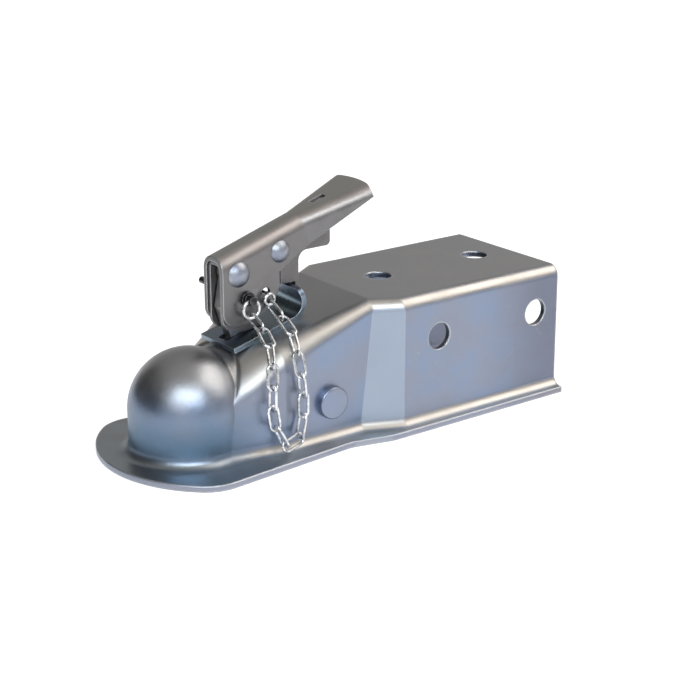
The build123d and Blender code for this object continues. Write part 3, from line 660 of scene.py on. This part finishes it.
def floor_paper():
    """Paper, white to the camera and in reflections, with its glow masked off under the shell as a
    painted shadow.
    """
    paper = Look("pale_floor")
    matt = paper.add("ShaderNodeBsdfDiffuse")
    paper.feed(matt.inputs["Color"], FLOOR_PAPER)
    path = paper.add("ShaderNodeLightPath").outputs
    seen = paper.fold(
        "MAXIMUM", path["Is Camera Ray"], path["Is Glossy Ray"], path["Is Transmission Ray"]
    )
    # The glow is masked off in the box under the shell: a painted shadow.
    from_middle = paper.math("ABSOLUTE", paper.math("SUBTRACT", paper.along(paper.place, "X"), UNDER_X))
    past_x = paper.math("SUBTRACT", from_middle, UNDER_HALF_X)
    past_y = paper.math("SUBTRACT", paper.math("ABSOLUTE", paper.along(paper.place, "Y")), UNDER_HALF_Y)
    outside_painted_shadow = paper.band(paper.math("MAXIMUM", past_x, past_y), -UNDER_SOFT, 0.0)
    glow = paper.add("ShaderNodeEmission")
    paper.join(paper.fold("MULTIPLY", seen, PAPER_GLOW, outside_painted_shadow), glow.inputs["Strength"])
    both = paper.add("ShaderNodeAddShader")
    paper.join(matt.outputs["BSDF"], both.inputs[0])
    paper.join(glow.outputs["Emission"], both.inputs[1])
    paper.show(both.outputs["Shader"])
    return paper.material


def pale_floor():
    """A wide sheet of paper that the part stands on."""
    sheet = bmesh.new()
    bmesh.ops.create_grid(sheet, x_segments=1, y_segments=1, size=FLOOR_HALF)
    bmesh.ops.translate(sheet, verts=sheet.verts, vec=(0, 0, FLOOR_Z))
    floor = placed("floor", sheet, floor_paper())


def dark_felt():
    """Matt felt, near black."""
    felt = Finish("dark_felt", metallic=0.0)
    nap = felt.noise(scale=300, detail=3)
    felt.paint(felt.mixed(nap, FELT_BASE, FELT_NAP), nap, smooth=0.8, dull=1.0, spread=FULL_BAND)
    return felt.material


def dark_card():
    """Dark card that stands to the left for the dark side of the dome, hidden from the camera."""
    low_near = CARD_FOOT - CARD_SPAN
    low_far = CARD_FOOT + CARD_SPAN
    sheet = bmesh.new()
    corners = (low_near, low_far, low_far + CARD_RISE, low_near + CARD_RISE)
    sheet.faces.new([sheet.verts.new(corner) for corner in corners])
    card = placed("dark_card", sheet, dark_felt())
    card.visible_camera = False


def studio_tent():
    """Plain surrounding light: pale at the horizon, grey above, and white to the camera."""
    world = bpy.data.worlds.new("studio_tent")
    scene.world = world
    world.use_nodes = True
    tent = Nodes(world.node_tree)
    ramp = tent.add("ShaderNodeValToRGB")
    stops = ramp.color_ramp.elements
    for height, _ in TENT_GREYS[1:-1]:
        stops.new(height)
    for stop, (_, grey) in zip(stops, TENT_GREYS):
        stop.color = (*grey, 1)
    direction = tent.add("ShaderNodeTexCoord").outputs["Generated"]
    tent.join(tent.along(direction, "Z"), ramp.inputs["Fac"])
    either = tent.add("ShaderNodeMixShader")
    tent.join(tent.add("ShaderNodeLightPath").outputs["Is Camera Ray"], either.inputs["Fac"])
    for colour, side in ((ramp.outputs["Color"], either.inputs[1]), (PURE_WHITE, either.inputs[2])):
        glow = tent.add("ShaderNodeBackground")
        tent.feed(glow.inputs["Color"], colour)
        tent.join(glow.outputs["Background"], side)
    tent.join(either.outputs["Shader"], tent.add("ShaderNodeOutputWorld").inputs["Surface"])


def soft_lamp(name, place, aim, width, height, power, colour):
    """A square-cornered softbox that looks from its place to its aim."""
    light = bpy.data.lights.new(name, "AREA")
    light.shape = "RECTANGLE"
    light.size = width
    light.size_y = height
    light.energy = power
    light.color = colour
    lamp = bpy.data.objects.new(name, light)
    scene.collection.objects.link(lamp)
    lamp.location = place
    lamp.rotation_euler = (Vector(aim) - Vector(place)).to_track_quat("-Z", "Y").to_euler()


pale_floor()
studio_tent()
dark_card()
soft_lamp(
    "front_softbox", place=(-0.73, -1.10, 1.00), aim=(0, 0, 0.01),
    width=1.6, height=0.8, power=20, colour=(0.86, 0.95, 1.0),
)
soft_lamp(
    "side_softbox", place=(1.02, -0.51, 1.22), aim=(0.1, 0, 0),
    width=1.5, height=1.3, power=15, colour=(1.0, 0.94, 0.88),
)

# Camera at the photo's angle

AIM = Vector((0.1, 0.0, 0.01))
AZIMUTH = radians(-37.2)
ELEVATION = radians(18.7)
DISTANCE = 0.8714
FOCAL_PX = 1730.4
FRAME_PX = 700
SENSOR_MM = 36.0
SHIFT_X = -0.0107
SHIFT_Y = -0.0066
NEAR_CLIP = 0.05

camera_data = bpy.data.cameras.new("camera")
camera_data.sensor_width = SENSOR_MM
camera_data.lens = FOCAL_PX / FRAME_PX * SENSOR_MM
camera_data.shift_x = SHIFT_X
camera_data.shift_y = SHIFT_Y
camera_data.clip_start = NEAR_CLIP
camera = bpy.data.objects.new("camera", camera_data)
scene.collection.objects.link(camera)
turn = Euler((radians(90) - ELEVATION, 0, AZIMUTH), "XYZ")
camera.rotation_euler = turn
camera.location = AIM + turn.to_matrix() @ Vector((0, 0, DISTANCE))
scene.camera = camera

scene.view_settings.view_transform = "Standard"
